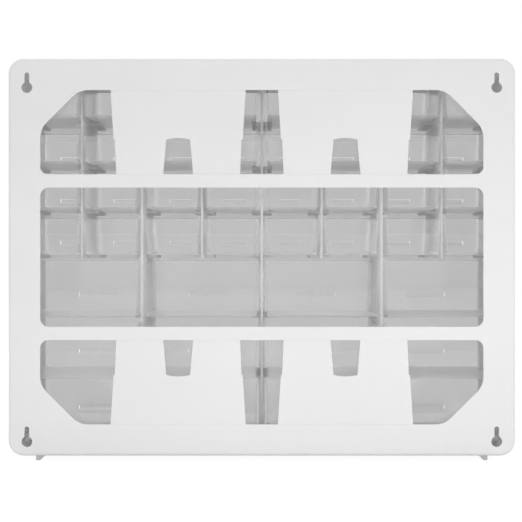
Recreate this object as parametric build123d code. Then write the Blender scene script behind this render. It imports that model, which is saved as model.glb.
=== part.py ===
from build123d import *
import os

# Small parts drawer cabinet: 32 small drawers above 12 large ones in one moulded frame.
# Millimetres, Z up. The origin is under the middle of the cabinet, at the soles of its feet.
# The drawers open towards minus Y, and the rear panel with its windows is at plus Y.

# Drawer grid
large_columns = 4
large_rows = 3
small_rows = 4
column_pitch = 122.0
large_row_pitch = 62.8
small_row_pitch = 46.7
side_border = 10.0
bottom_border = 9.8
top_border = 13.0

# Case
wall = 2.5
corner_radius = 15.0
rear_edge_radius = 3.5
front_edge_radius = 1.2
front_rim = 2.1
panel_rim_depth = 6.0

# Rear panel windows
panel_thickness = 2.5
window_side_margin = 32.0
window_end_margin = 31.5
window_bar = 13.25
middle_window_height = 139.5
middle_window_radius = 8.5
window_corner_radius = 8.0
window_chamfer = 38.9
window_chamfer_radius = 22.0

# Webs across the upper and lower windows, each a body with two legs
web_offset = 83.8
web_thickness = 1.9
web_body_height = 49.5
web_root_width = 135.4
web_waist_width = 129.4
leg_waist_width = 127.0
leg_end_width = 124.0
leg_gap_waist = 23.9
leg_gap_end = 30.0
leg_gap_rise = 1.5

# Keyholes for two screws at each end of the rear panel
keyhole_side_margin = 18.75
keyhole_top_margin = 29.1
keyhole_bottom_margin = 14.4
keyhole_radius = 5.4
keyhole_slot_width = 4.8
keyhole_slot_rise = 12.7

# Feet
foot_height = 6.0
foot_width = 4.0
foot_length = 14.0
foot_gusset = 6.2
foot_side_inset = 26.0
foot_end_inset = 6.0

# Lattice of rails, partitions and the ledges that the drawers run on
rail_height = 6.2
rail_depth = 8.0
post_width = 6.2
slim_post_width = 3.2
partition_thickness = 2.4
slim_partition_thickness = 1.6
partition_rear_gap = 17.5
ledge_reach = 10.5
ledge_thickness = 3.0
ledge_length = 75.4
ledge_setback = 1.0

# Drawers
drawer_length = 141.5
drawer_rear_gap = 10.5
drawer_wall = 1.5
drawer_floor = 1.6
drawer_rear_draft = 1.0
front_thickness = 1.8
front_gap = 2.6
run_clearance = 0.3
small_drawer_spacing = 59.4
small_width = 55.5
small_base_width = 51.0
small_height = 38.8
small_back_height = 20.3
large_width = 115.2
large_base_width = 113.0
large_height = 55.4
large_back_height = 27.5

# Details of the drawers
pull_depth = 7.5
pull_root = 5.0
pull_tip = 2.4
small_pull_width = 24.0
large_pull_width = 42.0
small_pull_level = 15.0
large_pull_level = 20.0
tab_height = 3.0
tab_length = 4.0
tab_setback = 8.0
rib_depth = 1.0
rib_thickness = 1.2
rib_gap = 2.4
rib_drop = 4.0

# Places across the cabinet
grid_width = large_columns * column_pitch
case_width = grid_width + 2 * side_border
side_inner = case_width / 2 - wall
grid_half = grid_width / 2

# Places up the cabinet: levels are the boundaries between rows, lowest first
case_bottom = foot_height
grid_bottom = case_bottom + bottom_border
large_levels = [grid_bottom + row * large_row_pitch for row in range(large_rows + 1)]
small_levels = [large_levels[-1] + row * small_row_pitch for row in range(small_rows + 1)]
levels = large_levels[:-1] + small_levels
case_top = levels[-1] + top_border
case_height = case_top - case_bottom
case_middle = (case_top + case_bottom) / 2

# Places through the depth, the pulls' tips in front and the panel's back behind
cabinet_depth = pull_depth + drawer_length + drawer_rear_gap + panel_thickness
rear_face = cabinet_depth / 2
panel_inner = rear_face - panel_thickness
panel_seam = rear_face - panel_rim_depth
drawer_rear = panel_inner - drawer_rear_gap
front_face = drawer_rear - drawer_length
lattice_face = front_face + front_thickness + run_clearance
case_front = lattice_face - front_rim
rail_rear = lattice_face + rail_depth
partition_rear = panel_inner - partition_rear_gap
ledge_front = rail_rear + ledge_setback
ledge_rear = ledge_front + ledge_length
ledge_top = rail_height / 2

# How far a drawer slides before its rear tabs meet the rail above it
tab_front = drawer_rear - tab_setback - tab_length
drawer_travel = tab_front - rail_rear - run_clearance


def block(x_range, y_range, z_range):
    """A box between two places on each axis."""
    spans = [x_range, y_range, z_range]
    centre = [(low + high) / 2 for low, high in spans]
    sizes = [high - low for low, high in spans]
    return Pos(*centre) * Box(*sizes)


def case_outline(inset):
    """The case's outline from behind, drawn on the XZ plane."""
    radius = max(corner_radius - inset, 0.5)
    return RectangleRounded(case_width - 2 * inset, case_height - 2 * inset, radius)


def prism(sketch, y_start, y_end):
    """A sketch drawn with X across and Y up, stood upright and run from y_start to y_end."""
    upright = Plane((0, y_end, 0), x_dir=(1, 0, 0), z_dir=(0, -1, 0))
    return extrude(upright * sketch, amount=y_end - y_start, dir=(0, -1, 0))


def window_opening(z_low, z_high, radii_low, radii_high, chamfer_low, chamfer_high):
    """One window, with each end's corners either rounded or cut off at 45 degrees."""
    half = case_width / 2 - window_side_margin
    corners = []
    radii = []
    for side, z, chamfer, radius in (
        (-1, z_low, chamfer_low, radii_low),
        (1, z_low, chamfer_low, radii_low),
        (1, z_high, chamfer_high, radii_high),
        (-1, z_high, chamfer_high, radii_high),
    ):
        inward = 1 if z == z_low else -1
        across = (side * (half - chamfer), z)
        upward = (side * half, z + inward * chamfer)
        if chamfer == 0:
            corners += [across]
            radii += [radius]
            continue
        pair = [across, upward] if side * inward == 1 else [upward, across]
        corners += pair
        radii += [radius, radius]
    return make_face(FilletPolyline(*corners, radius=radii, close=True))


def panel_windows():
    """The three windows of the rear panel: one in the middle and one at each end."""
    middle_low = case_middle - middle_window_height / 2
    middle_high = case_middle + middle_window_height / 2
    middle = window_opening(middle_low, middle_high, middle_window_radius, middle_window_radius, 0, 0)
    upper = window_opening(
        middle_high + window_bar,
        case_top - window_end_margin,
        window_corner_radius,
        window_chamfer_radius,
        0,
        window_chamfer,
    )
    lower = window_opening(
        case_bottom + window_end_margin,
        middle_low - window_bar,
        window_chamfer_radius,
        window_corner_radius,
        window_chamfer,
        0,
    )
    return middle, upper, lower


def web_outline(root_z, end_z):
    """A web that hangs from root_z, with two legs that reach end_z."""
    turn = 1 if end_z > root_z else -1
    waist_z = root_z + turn * web_body_height
    body = Polygon(
        (-web_root_width / 2, root_z),
        (web_root_width / 2, root_z),
        (web_waist_width / 2, waist_z),
        (-web_waist_width / 2, waist_z),
        align=None,
    )
    legs = Polygon(
        (-leg_waist_width / 2, waist_z),
        (leg_waist_width / 2, waist_z),
        (leg_end_width / 2, end_z),
        (-leg_end_width / 2, end_z),
        align=None,
    )
    gap_start = (-leg_gap_waist / 2, waist_z)
    gap_stop = (leg_gap_waist / 2, waist_z)
    gap_crown = (0, waist_z - turn * leg_gap_rise)
    gap_edge = ThreePointArc(gap_start, gap_crown, gap_stop)
    gap_sides = Polyline(gap_stop, (leg_gap_end / 2, end_z), (-leg_gap_end / 2, end_z), gap_start)
    return body + legs - make_face([gap_edge, gap_sides])


def keyhole():
    """A round hole for a screw's head, with a slot above it for the screw's shank."""
    slot = Pos(0, keyhole_slot_rise / 2) * Rectangle(keyhole_slot_width, keyhole_slot_rise)
    return Circle(keyhole_radius) + slot + Pos(0, keyhole_slot_rise) * Circle(keyhole_slot_width / 2)


def rear_panel():
    """The windowed panel, with the rounded rim that joins it to the case's walls."""
    middle_z = Pos(0, case_middle)
    shell = prism(middle_z * case_outline(0), panel_seam, rear_face)
    rear_edges = shell.edges().group_by(Axis.Y)[-1]
    shell = fillet(rear_edges, rear_edge_radius)
    shell -= prism(middle_z * case_outline(wall), panel_seam, panel_inner)
    windows = panel_windows()
    for window in windows:
        shell -= prism(window, panel_inner, rear_face)
    upper_root = case_top - window_end_margin
    lower_root = case_bottom + window_end_margin
    upper_end = case_middle + middle_window_height / 2 + window_bar
    lower_end = case_middle - middle_window_height / 2 - window_bar
    for side in (-1, 1):
        for root_z, end_z in ((upper_root, upper_end), (lower_root, lower_end)):
            web = Pos(side * web_offset, 0) * web_outline(root_z, end_z)
            shell += prism(web, panel_inner, panel_inner + web_thickness)
        hole_x = side * (case_width / 2 - keyhole_side_margin)
        for hole_z in (case_top - keyhole_top_margin, case_bottom + keyhole_bottom_margin):
            shell -= prism(Pos(hole_x, hole_z) * keyhole(), panel_inner, rear_face)
    return shell


def foot(side, y_low):
    """A short foot under the case, with a 45 degree gusset towards the middle."""
    outer = case_width / 2 - foot_side_inset
    inner = outer - foot_width
    profile = Polygon(
        (side * outer, 0),
        (side * inner, 0),
        (side * (inner - foot_gusset), foot_height),
        (side * outer, foot_height),
        align=None,
    )
    return prism(profile, y_low, y_low + foot_length)


def case_walls():
    """The four outer walls with the front border and the feet."""
    middle_z = Pos(0, case_middle)
    walls = prism(middle_z * case_outline(0), case_front, panel_seam)
    front_edges = walls.edges().group_by(Axis.Y)[0]
    walls = fillet(front_edges, front_edge_radius)
    walls -= prism(middle_z * case_outline(wall), case_front, lattice_face)
    walls -= prism(middle_z * case_outline(wall), lattice_face + wall, panel_seam)
    opening = block(
        (-grid_half + post_width / 2, grid_half - post_width / 2),
        (lattice_face, lattice_face + wall),
        (levels[0] + rail_height / 2, levels[-1] - rail_height / 2),
    )
    walls -= opening
    for side in (-1, 1):
        walls += foot(side, case_front + foot_end_inset)
        walls += foot(side, panel_seam - foot_end_inset - foot_length)
    return walls


def rail(level):
    """A front rail between two rows of drawers."""
    half = grid_half - post_width / 2
    return block((-half, half), (lattice_face, rail_rear), (level - rail_height / 2, level + rail_height / 2))


def ledge(x_low, x_high, level):
    """A ledge behind the rail, for one side of the drawers in the row above it."""
    z_high = level + ledge_top
    return block((x_low, x_high), (ledge_front, ledge_rear), (z_high - ledge_thickness, z_high))


def partition(x, thickness, front_width, z_low, z_high, row_levels):
    """An upright between two columns, with its front post and its ledges."""
    upright = block((x - thickness / 2, x + thickness / 2), (lattice_face, partition_rear), (z_low, z_high))
    post = block((x - front_width / 2, x + front_width / 2), (lattice_face, rail_rear), (z_low, z_high))
    upright += post
    for level in row_levels:
        upright += ledge(x - ledge_reach, x + ledge_reach, level)
    for level in levels[1:-1]:
        upright -= rail(level)
    return upright


def front_border_cut(upright):
    """Room in an upright for the case's front border above and below the grid."""
    across = (-grid_half, grid_half)
    through = (lattice_face, lattice_face + wall)
    lower = block(across, through, (case_bottom, levels[0] + rail_height / 2))
    upper = block(across, through, (levels[-1] - rail_height / 2, case_top))
    return upright - lower - upper


def partitions():
    """The uprights in order across the grid: main ones between large columns, slim ones between pairs."""
    floor_z = case_bottom + wall
    roof_z = case_top - wall
    uprights = []
    for half_column in range(1, 2 * large_columns):
        x = -grid_half + half_column * column_pitch / 2
        if half_column % 2 == 0:
            upright = partition(x, partition_thickness, post_width, floor_z, roof_z, levels[:-1])
        else:
            foot_z = small_levels[0] + ledge_top - ledge_thickness
            upright = partition(
                x, slim_partition_thickness, slim_post_width, foot_z, roof_z, small_levels[:-1]
            )
        uprights.append(front_border_cut(upright))
    return uprights


def side_ledges():
    """The ledges on the inside of the two outer walls, trimmed to the walls' round corners."""
    room = prism(Pos(0, case_middle) * case_outline(wall), ledge_front, ledge_rear)
    inner = grid_half - ledge_reach
    strips = []
    for level in levels[:-1]:
        strips += (ledge(-side_inner, -inner, level) & room).solids()
        strips += (ledge(inner, side_inner, level) & room).solids()
    return Compound(children=strips)


def tapered_block(low_width, high_width, y_front, y_rear_low, y_rear_high, z_low, z_high):
    """A block that widens upwards, with an upright front."""
    low = Pos(0, (y_front + y_rear_low) / 2, z_low) * Rectangle(low_width, y_rear_low - y_front)
    high = Pos(0, (y_front + y_rear_high) / 2, z_high) * Rectangle(high_width, y_rear_high - y_front)
    return loft([low.face(), high.face()], ruled=True)


class DrawerKind:
    """The sizes of one kind of drawer, the front included."""

    def __init__(self, width, base_width, height, back_height, front_width, row_pitch, pull_width, pull_level):
        self.width = width
        self.base_width = base_width
        self.height = height
        self.back_height = back_height
        self.front_width = front_width
        self.row_pitch = row_pitch
        self.pull_width = pull_width
        self.pull_level = pull_level

    def hollow(self, inset):
        """The inside of the drawer, drawn in from its walls by an inset."""
        rim_draft = (self.width - self.base_width) / self.height * drawer_floor
        return tapered_block(
            self.base_width + rim_draft - 2 * (drawer_wall + inset),
            self.width - 2 * (drawer_wall + inset),
            front_face + front_thickness + inset,
            drawer_rear - drawer_rear_draft - drawer_wall - inset,
            drawer_rear - drawer_wall - inset,
            drawer_floor,
            self.height,
        )


small_kind = DrawerKind(
    small_width,
    small_base_width,
    small_height,
    small_back_height,
    small_drawer_spacing - front_gap,
    small_row_pitch,
    small_pull_width,
    small_pull_level,
)
large_kind = DrawerKind(
    large_width,
    large_base_width,
    large_height,
    large_back_height,
    column_pitch - front_gap,
    large_row_pitch,
    large_pull_width,
    large_pull_level,
)


def divider_ribs(kind, lengthwise):
    """Pairs of ribs on facing walls that hold a divider's two edges."""
    band = kind.hollow(0) - kind.hollow(rib_depth)
    reach = max(kind.width, drawer_length)
    middle_y = (front_face + drawer_rear) / 2
    ribs = []
    for side in (-1, 1):
        near = side * rib_gap / 2
        far = side * (rib_gap / 2 + rib_thickness)
        span = (min(near, far), max(near, far))
        if lengthwise:
            slab = block(span, (front_face, drawer_rear), (drawer_floor, kind.back_height - rib_depth))
        else:
            slab = block(
                (-reach, reach),
                (middle_y + span[0], middle_y + span[1]),
                (drawer_floor, kind.height - rib_drop),
            )
        ribs += (band & slab).solids()
    return ribs


def pull(kind, front_low):
    """A tapered finger ledge across the middle of the front."""
    root = front_face
    tip = front_face - pull_depth
    level = front_low + kind.pull_level
    profile = Polygon(
        (root, level - pull_root / 2),
        (root, level + pull_root / 2),
        (tip, level + pull_root / 2),
        (tip, level + pull_root / 2 - pull_tip),
        align=None,
    )
    outline = Plane.YZ.offset(-kind.pull_width / 2) * profile
    return extrude(outline, amount=kind.pull_width)


def drawer(kind):
    """A drawer with its floor's underside at Z 0 and its middle at X 0."""
    seat = ledge_top + run_clearance
    body = tapered_block(
        kind.base_width,
        kind.width,
        front_face,
        drawer_rear - drawer_rear_draft,
        drawer_rear,
        0,
        kind.height,
    )
    body -= kind.hollow(0)
    inner_half = kind.width / 2 - drawer_wall
    back_y = drawer_rear - drawer_rear_draft - drawer_wall
    body -= block((-inner_half, inner_half), (back_y - drawer_wall, drawer_rear), (kind.back_height, kind.height))
    front_low = front_gap / 2 - seat
    front_high = front_low + kind.row_pitch - front_gap
    body += block(
        (-kind.front_width / 2, kind.front_width / 2),
        (front_face, front_face + front_thickness),
        (front_low, front_high),
    )
    body += pull(kind, front_low)
    for side in (-1, 1):
        outer = side * (kind.width / 2)
        inner = side * (kind.width / 2 - drawer_wall)
        body += block(
            (min(inner, outer), max(inner, outer)),
            (tab_front, tab_front + tab_length),
            (kind.height - drawer_wall, kind.height + tab_height),
        )
    for rib in divider_ribs(kind, False):
        body += rib
    if kind is large_kind:
        for rib in divider_ribs(kind, True):
            body += rib
    return body


def write_node(shape, name):
    """Write one sub-part to its own STEP file."""
    export_step(shape, os.path.join("parts", name + ".step"))


def main():
    os.makedirs("parts", exist_ok=True)
    write_node(rear_panel(), "rear_panel")
    write_node(case_walls(), "case_walls")
    write_node(side_ledges(), "side_ledges")
    for number, upright in enumerate(partitions(), 1):
        write_node(upright, f"partition_{number}")
    for number, level in enumerate(levels[1:-1], 1):
        write_node(rail(level), f"front_rail_{number}")
    small = drawer(small_kind)
    large = drawer(large_kind)
    seat = ledge_top + run_clearance
    for row in range(small_rows):
        z = small_levels[small_rows - 1 - row] + seat
        for column in range(2 * large_columns):
            middle = -grid_half + (column // 2 + 0.5) * column_pitch
            side = 1 if column % 2 else -1
            place = Pos(middle + side * small_drawer_spacing / 2, 0, z)
            write_node(place * small, f"small_drawer_r{row + 1}_c{column + 1}")
    for row in range(large_rows):
        z = large_levels[large_rows - 1 - row] + seat
        for column in range(large_columns):
            place = Pos(-grid_half + (column + 0.5) * column_pitch, 0, z)
            write_node(place * large, f"large_drawer_r{row + 1}_c{column + 1}")
    print(f"Case {case_width:.1f} wide, {cabinet_depth:.1f} deep, {case_top:.1f} tall with feet")
    print(f"Drawer travel {drawer_travel:.2f}")


main()
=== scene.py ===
import math

import bmesh
import bpy
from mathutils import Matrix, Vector


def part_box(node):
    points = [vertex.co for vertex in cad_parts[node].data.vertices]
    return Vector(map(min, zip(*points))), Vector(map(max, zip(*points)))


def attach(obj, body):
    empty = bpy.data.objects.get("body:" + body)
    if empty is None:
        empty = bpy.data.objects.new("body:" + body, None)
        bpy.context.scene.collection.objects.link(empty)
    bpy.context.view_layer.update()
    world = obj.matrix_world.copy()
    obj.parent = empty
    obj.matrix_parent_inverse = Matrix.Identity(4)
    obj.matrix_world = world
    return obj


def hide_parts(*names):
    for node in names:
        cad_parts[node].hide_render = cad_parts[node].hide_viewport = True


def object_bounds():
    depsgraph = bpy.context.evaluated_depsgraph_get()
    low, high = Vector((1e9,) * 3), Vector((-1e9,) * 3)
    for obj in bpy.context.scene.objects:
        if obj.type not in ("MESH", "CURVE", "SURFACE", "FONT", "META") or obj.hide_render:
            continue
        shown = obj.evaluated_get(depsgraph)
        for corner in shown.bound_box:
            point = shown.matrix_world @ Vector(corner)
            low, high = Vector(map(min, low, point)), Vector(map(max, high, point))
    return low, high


# The small parts drawer cabinet: a white moulded frame, seen from behind, and 44 clear drawers.
# Metres, Z up. The drawers open towards minus Y and the rear panel is at plus Y.

MM = 0.001

# The photograph, in pixels: its size, and where the camera's level line and the cabinet's middle lie
PHOTO_SIZE = 522
PHOTO_LEVEL = 257.0
PHOTO_MIDDLE = 261.8
PHOTO_SCALE = 1.001 * MM
CAMERA_DISTANCE = 1.35
FOOT_SOLE_ROW = 462.0
SENSOR_WIDTH = 36.0

# How brightly the white surroundings light the cabinet
WORLD_LIGHT = 1.0

# The white plastic: its dullest and brightest grey, and the share of light that passes its skin,
# on the shell and on the thin parts inside; the inner parts' lighter grey is painted light
# that brightens the shade inside the case
SHELL_GREYS = (0.75, 0.81)
INNER_BRIGHTENED_GREYS = (0.86, 0.90)
SHELL_GLOW = 0.28
INNER_GLOW = 0.92

# The clear plastic: how much light one surface lets through, and how milky it is in each place
CLEAR_TINT = 0.98
CLEAR_MILK = 0.02
EDGE_ON_MILK = 0.22
HAZE_MILK = 0.03
# The outer front: a share of dark grey milk, painted shade that dims what is seen through the windows.
FRONT_SHADE_MILK = 0.62
FRONT_SHADE_GREY = 0.31
# Rims, floors and lower corners: near-white milk, a painted highlight for the light that clear edges catch
# and carry.
RIM_HIGHLIGHT_MILK = 0.95
FLOOR_HIGHLIGHT = 0.5
CORNER_HIGHLIGHT = 0.5
FRONT_BACK = -73 * MM

# The share of gloss on the clear plastic, where it is met edge on and everywhere
EDGE_ON_SHINE = 0.13
LEAST_SHINE = 0.03

# The face attributes that mark where the painted rim highlight and the painted front shade go on each
# drawer
RIM_HIGHLIGHT = "rim_highlight"
FRONT_SHADE = "front_shade"

# Edge rounding of the mouldings
PANEL_ROUND = 0.6 * MM
PANEL_RIM = 2.3 * MM
EDGE_BAND = 7 * MM
FRAME_ROUND = 0.35 * MM
DRAWER_ROUND = 0.5 * MM
DRAWER_CORNER = 2.4 * MM
DRAWER_INNER_CORNER = 1.2 * MM

# Which edges count as sharp and which turns as flat, in degrees
SHARP_TURN = 40
FLAT_TURN = 0.4

# How far apart two places may be and still count as the same
WELD = 0.002 * MM
NEAR = 0.05 * MM
LOOSELY_NEAR = 0.1 * MM

# On every drawer, how far the front hangs below the floor, and the floor's thickness
FRONT_DROP = 2.1 * MM
DRAWER_FLOOR = 1.6 * MM
LONG_EDGE = 40 * MM

# The floor: its half width, its grey, how strongly it shines to the camera and the share that shows shadow
FLOOR_REACH = 6.0
FLOOR_GREY = 0.92
FLOOR_LIT = 1.08
FLOOR_SHADOW = 0.12

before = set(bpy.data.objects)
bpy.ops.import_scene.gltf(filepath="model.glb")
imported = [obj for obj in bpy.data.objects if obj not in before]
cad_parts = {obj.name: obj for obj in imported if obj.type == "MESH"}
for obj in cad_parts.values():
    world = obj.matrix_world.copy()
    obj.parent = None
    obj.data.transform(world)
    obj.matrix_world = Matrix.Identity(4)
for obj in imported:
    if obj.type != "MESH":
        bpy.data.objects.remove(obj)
cad_low, cad_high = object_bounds()


class Socket:
    """A shader socket that takes plain arithmetic and adds the Math nodes for it."""

    def __init__(self, shader, socket):
        self.shader = shader
        self.socket = socket

    def math(self, operation, *others):
        values = dict(enumerate((self,) + others))
        return self.shader.node("ShaderNodeMath", {"operation": operation}, values)

    def __add__(self, other):
        return self.math("ADD", other)

    def __mul__(self, other):
        return self.math("MULTIPLY", other)

    __radd__ = __add__
    __rmul__ = __mul__

    def power(self, exponent):
        return self.math("POWER", exponent)

    def larger(self, other):
        return self.math("MAXIMUM", other)

    def clamp(self):
        return self.shader.node("ShaderNodeClamp", {}, {0: self})


class Shader:
    """The node tree of a material or world, filled one node at a time."""

    def __init__(self, owner):
        self.owner = owner
        self.owner.use_nodes = True
        self.tree = self.owner.node_tree
        self.tree.nodes.clear()

    def node(self, kind, settings=None, values=None, output=0):
        made = self.tree.nodes.new(kind)
        for name, value in (settings or {}).items():
            setattr(made, name, value)
        for name, value in (values or {}).items():
            if isinstance(value, Socket):
                self.tree.links.new(value.socket, made.inputs[name])
            else:
                made.inputs[name].default_value = value
        if not made.outputs:
            return None
        return Socket(self, made.outputs[output])

    def place(self):
        return self.node("ShaderNodeTexCoord", output="Object")

    def noise(self, scale, detail, vector=None):
        values = {"Vector": vector or self.place(), "Scale": scale, "Detail": detail, "Roughness": 0.5}
        return self.node("ShaderNodeTexNoise", {}, values)

    def stretched(self, x, y, z):
        return self.node("ShaderNodeMapping", {}, {"Vector": self.place(), "Scale": (x, y, z)})

    def mix_colour(self, factor, first, second):
        settings = {"data_type": "RGBA"}
        return self.node("ShaderNodeMix", settings, {"Factor": factor, 6: first, 7: second}, output=2)

    def mix_shader(self, factor, first, second):
        return self.node("ShaderNodeMixShader", {}, {"Fac": factor, 1: first, 2: second})

    def bump(self, height, strength, distance):
        values = {"Height": height, "Strength": strength, "Distance": distance}
        return self.node("ShaderNodeBump", {}, values)

    def finish(self, surface, output="ShaderNodeOutputMaterial"):
        self.node(output, {}, {"Surface": surface})
        return self.owner


def grey(level, tint=0.0):
    """A linear grey, a little warm where tint is above 0 and cool below."""
    return (level + tint, level, level - tint, 1.0)


def white_moulding(name, greys, glow):
    """White moulded polystyrene: an even satin face, where a share glow of the light passes through."""
    dull, bright = greys
    shader = Shader(bpy.data.materials.new(name))
    clouds = shader.noise(scale=9.0, detail=3.0)
    flow = shader.noise(scale=14.0, detail=2.0, vector=shader.stretched(0.25, 1.0, 2.2))
    colour = shader.mix_colour((clouds * 0.6 + flow * 0.4).clamp(), grey(dull), grey(bright, tint=0.002))
    grain = shader.noise(scale=1400.0, detail=2.0)
    ripple = shader.noise(scale=30.0, detail=1.0)
    skin = shader.bump(grain * 0.25 + ripple, strength=0.25, distance=0.1 * MM)
    face = shader.node(
        "ShaderNodeBsdfPrincipled",
        {},
        {
            "Base Color": colour,
            "Roughness": clouds * 0.12 + 0.36,
            "Specular IOR Level": 0.45,
            "Normal": skin,
        },
    )
    inside = shader.node("ShaderNodeBsdfTranslucent", {}, {"Color": grey(0.96)})
    return shader.finish(shader.mix_shader(glow, face, inside))


def clear_moulding():
    """Clear moulded polystyrene: see-through, milky where it is met edge on, with a painted highlight along
    its rims, floor and lower corners and a painted shade film on its outer front.
    """
    shader = Shader(bpy.data.materials.new("clear_drawer"))
    edge_on = shader.node("ShaderNodeLayerWeight", {}, {"Blend": 0.5}, output="Facing")
    front_shade = shader.node("ShaderNodeAttribute", {"attribute_name": FRONT_SHADE}, output="Fac")
    rim_highlight = shader.node("ShaderNodeAttribute", {"attribute_name": RIM_HIGHLIGHT}, output="Fac")
    ripple = shader.noise(scale=45.0, detail=2.0)
    haze = shader.noise(scale=7.0, detail=2.0)
    skin = shader.bump(ripple, strength=0.5, distance=0.4 * MM)
    body_milk = shader.mix_colour(haze, grey(0.86), grey(0.94))
    # Near-white milk on rims, floors and lower corners is a painted highlight; the dark grey on the outer
    # front is painted shade.
    milk = shader.mix_colour(front_shade, shader.mix_colour(rim_highlight, body_milk, grey(0.98)), grey(FRONT_SHADE_GREY))
    through = shader.node("ShaderNodeBsdfTransparent", {}, {"Color": grey(CLEAR_TINT)})
    near_side = shader.node(
        "ShaderNodeBsdfPrincipled", {}, {"Base Color": milk, "Roughness": 0.35, "Normal": skin}
    )
    far_side = shader.node("ShaderNodeBsdfTranslucent", {}, {"Color": milk})
    both_sides = shader.mix_shader(0.5, near_side, far_side)
    share = edge_on.power(2.5) * EDGE_ON_MILK + haze * HAZE_MILK
    # The outer front's large share of grey milk is painted shade; the rims' share is a painted highlight.
    share = share + front_shade * FRONT_SHADE_MILK + rim_highlight * RIM_HIGHLIGHT_MILK + CLEAR_MILK
    cloudy = shader.mix_shader(share.clamp(), through, both_sides)
    gloss = shader.node(
        "ShaderNodeBsdfPrincipled",
        {},
        {"Base Color": grey(0.95), "Metallic": 1.0, "Roughness": ripple * 0.06 + 0.05, "Normal": skin},
    )
    shine = edge_on.power(5.0) * EDGE_ON_SHINE + LEAST_SHINE
    return shader.finish(shader.mix_shader(shine.clamp(), cloudy, gloss))


def dress(piece, material, body):
    """Give a piece its one material and its body."""
    piece.data.materials.clear()
    piece.data.materials.append(material)
    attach(piece, body)


def sharp_edges(mesh):
    """Edges where two faces meet at a sharp turn."""
    limit = math.radians(SHARP_TURN)
    return [edge for edge in mesh.edges if edge.is_manifold and edge.calc_face_angle(0.0) > limit]


def merged_copy(node):
    """A copy of a CAD node's mesh with its loose triangles joined into clean flat faces."""
    mesh = bmesh.new()
    mesh.from_mesh(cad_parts[node].data)
    bmesh.ops.remove_doubles(mesh, verts=mesh.verts[:], dist=WELD)
    bmesh.ops.dissolve_limit(
        mesh,
        angle_limit=math.radians(FLAT_TURN),
        verts=mesh.verts[:],
        edges=mesh.edges[:],
        delimit={"NORMAL"},
    )
    return mesh


def round_edges(mesh, edges, width, segments):
    """Round some edges and give back the faces that this makes."""
    rounded = bmesh.ops.bevel(
        mesh,
        geom=edges,
        offset=width,
        offset_type="OFFSET",
        affect="EDGES",
        segments=segments,
        profile=0.5,
        clamp_overlap=True,
        material=-1,
    )
    return rounded["faces"]


def as_object(mesh, name):
    """A smooth-shaded scene object made from a bmesh, with its flat faces kept flat by weighted normals."""
    data = bpy.data.meshes.new(name)
    bmesh.ops.triangulate(mesh, faces=[face for face in mesh.faces if len(face.verts) > 4])
    mesh.to_mesh(data)
    mesh.free()
    data.shade_smooth()
    piece = bpy.data.objects.new(name, data)
    bpy.context.scene.collection.objects.link(piece)
    flats = piece.modifiers.new("flat_faces", "WEIGHTED_NORMAL")
    flats.keep_sharp = False
    return piece


def outer_back_edges(mesh):
    """The edges around the outside of the panel's back face."""
    low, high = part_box("rear_panel")
    found = []
    for edge in sharp_edges(mesh):
        places = [vert.co for vert in edge.verts]
        if min(place.y for place in places) < high.y - NEAR:
            continue
        reach = [
            min(place.x - low.x, high.x - place.x, place.z - low.z, high.z - place.z) for place in places
        ]
        if max(reach) < EDGE_BAND:
            found.append(edge)
    return found


def soften_frame_node(node, width, material):
    """Stand a round-edged copy in for one node of the white frame."""
    mesh = merged_copy(node)
    if node == "rear_panel":
        round_edges(mesh, outer_back_edges(mesh), PANEL_RIM, 5)
    round_edges(mesh, sharp_edges(mesh), width, 2)
    piece = as_object(mesh, node + "_skin")
    dress(piece, material, "cabinet")
    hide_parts(node)


def long_edges_at(mesh, level):
    """The edges that run the length of a drawer at one height."""
    found = []
    for edge in mesh.edges:
        start, end = (vert.co for vert in edge.verts)
        is_level = max(abs(start.z - level), abs(end.z - level)) < NEAR
        runs_back = abs(start.y - end.y) > LONG_EDGE and abs(start.x - end.x) < NEAR
        if is_level and runs_back:
            found.append(edge)
    return found


def drawer_mesh(node):
    """A drawer's mesh with rounded lower edges and rounded rims; its rims, floor and lower corners are
    marked for a painted highlight and its outer front for painted shade.
    """
    floor_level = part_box(node)[0].z + FRONT_DROP
    mesh = merged_copy(node)
    rim_highlight = mesh.faces.layers.float.new(RIM_HIGHLIGHT)
    front_shade = mesh.faces.layers.float.new(FRONT_SHADE)
    corners = round_edges(mesh, long_edges_at(mesh, floor_level), DRAWER_CORNER, 4)
    corners += round_edges(mesh, long_edges_at(mesh, floor_level + DRAWER_FLOOR), DRAWER_INNER_CORNER, 3)
    # The rounded lower corners take half of the painted rim highlight.
    for face in corners:
        face[rim_highlight] = CORNER_HIGHLIGHT
    for face in mesh.faces:
        middle = face.calc_center_median()
        above_floor = middle.z - floor_level
        # The floor faces take half of the painted rim highlight.
        if abs(face.normal.z) > 0.9 and -LOOSELY_NEAR < above_floor < DRAWER_FLOOR + LOOSELY_NEAR:
            face[rim_highlight] = FLOOR_HIGHLIGHT
        # The outer front faces are marked for the painted shade film.
        if face.normal.y < -0.2 and middle.y < FRONT_BACK:
            face[front_shade] = 1.0
    # The rounded rims take the full painted highlight.
    for face in round_edges(mesh, sharp_edges(mesh), DRAWER_ROUND, 2):
        face[rim_highlight] = 1.0
    return mesh


def place_drawers(kind, material):
    """Dress every drawer of one kind with a copy of the same rounded mesh, shifted to its cell."""
    nodes = sorted(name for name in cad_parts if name.startswith(kind))
    first = nodes[0]
    master = drawer_mesh(first)
    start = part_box(first)[0]
    for node in nodes:
        mesh = master.copy()
        bmesh.ops.translate(mesh, verts=mesh.verts[:], vec=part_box(node)[0] - start)
        piece = as_object(mesh, node + "_shell")
        dress(piece, material, node)
        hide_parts(node)
    master.free()


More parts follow.
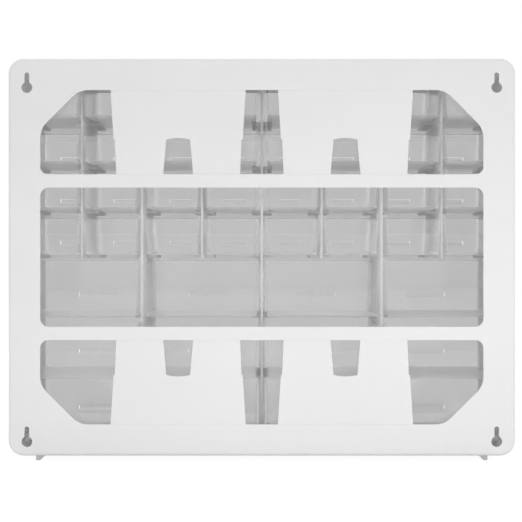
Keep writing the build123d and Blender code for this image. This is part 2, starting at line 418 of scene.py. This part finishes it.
def make_cabinet():
    """The white frame, piece by piece, and the two kinds of drawer."""
    white = white_moulding("white_shell", SHELL_GREYS, SHELL_GLOW)
    # The inner parts get a lighter grey than the shell: painted light that brightens the shade inside the
    # case.
    inner_white_brightened = white_moulding("inner_white_brightened", INNER_BRIGHTENED_GREYS, INNER_GLOW)
    clear = clear_moulding()
    frame_nodes = sorted(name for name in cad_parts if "drawer" not in name)
    for node in frame_nodes:
        shell = node in ("rear_panel", "case_walls")
        width = PANEL_ROUND if node == "rear_panel" else FRAME_ROUND
        soften_frame_node(node, width, white if shell else inner_white_brightened)
    place_drawers("small_drawer", clear)
    place_drawers("large_drawer", clear)


def backdrop_floor():
    """A pale floor under the feet, near white to the camera, where it keeps part of the shadow."""
    shader = Shader(bpy.data.materials.new("floor_white"))
    path = shader.node("ShaderNodeLightPath", output="Is Camera Ray")
    diffuse = shader.node("ShaderNodeBsdfDiffuse", {}, {"Color": grey(FLOOR_GREY)})
    lit = shader.node("ShaderNodeEmission", {}, {"Color": grey(1.0), "Strength": FLOOR_LIT})
    seen = shader.mix_shader(FLOOR_SHADOW, lit, diffuse)
    material = shader.finish(shader.mix_shader(path, diffuse, seen))
    mesh = bmesh.new()
    bmesh.ops.create_grid(mesh, x_segments=1, y_segments=1, size=FLOOR_REACH)
    floor = as_object(mesh, "floor")
    floor.data.materials.append(material)


def white_world():
    """Strength 1 where the surroundings are seen, and WORLD_LIGHT where they light the cabinet."""
    shader = Shader(bpy.data.worlds.new("studio"))
    camera, through, glossy = (
        shader.node("ShaderNodeLightPath", output=ray)
        for ray in ("Is Camera Ray", "Is Transmission Ray", "Is Glossy Ray")
    )
    seen = camera.larger(through).larger(glossy)
    levels = {"Value": seen, "To Min": WORLD_LIGHT, "To Max": 1.0}
    strength = shader.node("ShaderNodeMapRange", {}, levels, output="Result")
    sky = shader.node("ShaderNodeBackground", {}, {"Color": grey(1.0), "Strength": strength})
    bpy.context.scene.world = shader.finish(sky, "ShaderNodeOutputWorld")


def soft_lamp(name, place, aim, width, height, power):
    """A soft box that shines from place towards aim and is never seen itself."""
    lamp = bpy.data.lights.new(name, "AREA")
    lamp.shape = "RECTANGLE"
    lamp.size = width
    lamp.size_y = height
    lamp.energy = power
    holder = bpy.data.objects.new(name, lamp)
    holder.location = place
    holder.rotation_euler = (Vector(aim) - Vector(place)).to_track_quat("-Z", "Y").to_euler()
    holder.visible_camera = False
    bpy.context.scene.collection.objects.link(holder)
    return holder


def studio():
    """The floor, the surroundings and four soft lamps, two of them behind the cabinet."""
    backdrop_floor()
    white_world()
    middle = (cad_low + cad_high) / 2
    soft_lamp("rear_key", (-0.6, 0.85, 0.20), (0.0, cad_high.y, 0.15), width=0.3, height=0.3, power=1.2)
    low_fill = soft_lamp(
        "low_fill", (0.0, 0.47, 0.05), (0.0, cad_high.y, 0.10), width=0.5, height=0.07, power=0.38
    )
    low_fill.visible_glossy = False
    soft_lamp("overhead", (0.1, 0.1, 1.8), middle, width=1.0, height=1.0, power=3.5)
    soft_lamp("front_fill", (0.3, -1.6, 0.8), middle, width=1.2, height=1.2, power=10.0)


def photo_camera():
    """The camera behind the cabinet, square to the rear panel and level."""
    camera = bpy.data.cameras.new("photo_camera")
    seen_width = PHOTO_SIZE * PHOTO_SCALE
    camera.sensor_width = SENSOR_WIDTH
    camera.lens = camera.sensor_width * CAMERA_DISTANCE / seen_width
    camera.shift_x = (PHOTO_SIZE / 2 - PHOTO_MIDDLE) / PHOTO_SIZE
    camera.shift_y = (PHOTO_LEVEL - PHOTO_SIZE / 2) / PHOTO_SIZE
    camera.clip_start = 0.02
    holder = bpy.data.objects.new("photo_camera", camera)
    height = (FOOT_SOLE_ROW - PHOTO_LEVEL) * PHOTO_SCALE
    holder.location = ((cad_low.x + cad_high.x) / 2, cad_high.y + CAMERA_DISTANCE, height)
    holder.rotation_euler = (math.radians(90), 0, math.radians(180))
    bpy.context.scene.collection.objects.link(holder)
    bpy.context.scene.camera = holder


make_cabinet()
studio()
photo_camera()
bpy.context.scene.cycles.transparent_max_bounces = 32
bpy.context.scene.view_settings.view_transform = "Standard"
